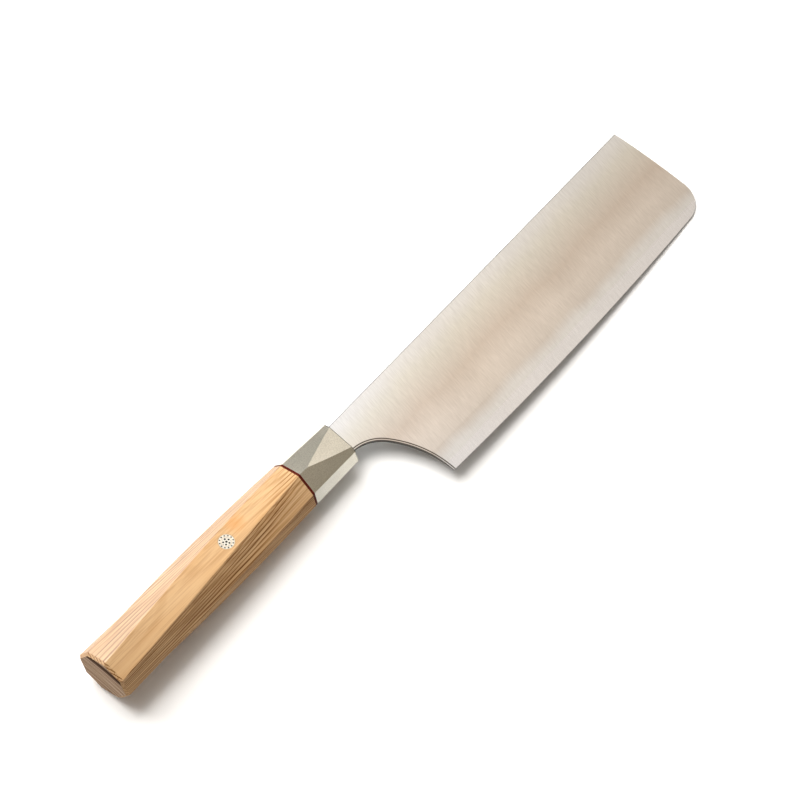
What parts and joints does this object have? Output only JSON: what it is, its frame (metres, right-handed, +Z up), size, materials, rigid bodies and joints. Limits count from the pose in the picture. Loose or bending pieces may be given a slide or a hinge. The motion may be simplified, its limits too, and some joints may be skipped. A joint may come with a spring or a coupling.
{
  "type": "nakiri knife",
  "caption": "Vegetable knife with a straight-edged rectangular laminated blade, faceted metal bolster and twisted eight-sided wooden handle, lying on its side.",
  "frame": {"origin": "on the surface that the knife lies on, below the middle of its bounding box", "axes": "+X along the handle towards the front of the blade, +Y towards the spine's side, +Z up out of the seen face"},
  "size_m": [0.3234, 0.0525, 0.0274],
  "materials": {
    "core_steel": "polished hard carbon steel",
    "clad_steel": "satin stainless steel, ground across the blade",
    "bolster_metal": "satin nickel silver with crisp facets",
    "seal_resin": "dark epoxy",
    "red_fibre": "dark red vulcanised fibre",
    "handle_wood": "pale straight-grained wood, lightly waxed",
    "bedding_resin": "amber epoxy",
    "pin_metal": "pale brass, ground flush",
    "pin_dark": "black resin rods",
    "pin_grey": "grey rods",
    "pin_filler": "metal-filled resin"
  },
  "bodies": {
    "root": {"blade_core": "core_steel", "blade_cladding_right": "clad_steel", "blade_cladding_left": "clad_steel", "bolster": "bolster_metal", "tang_seal": "seal_resin", "spacer": "red_fibre", "handle": "handle_wood", "tang_bedding": "bedding_resin", "pin_filler": "pin_filler", "pin_tube": "pin_metal", "pin_inner_tube": "pin_metal", "pin_outer_rods": "pin_dark", "pin_inner_rods": "pin_dark", "pin_fine_rods": "pin_grey", "pin_centre_rod": "pin_dark"}
  },
  "joints": []
}
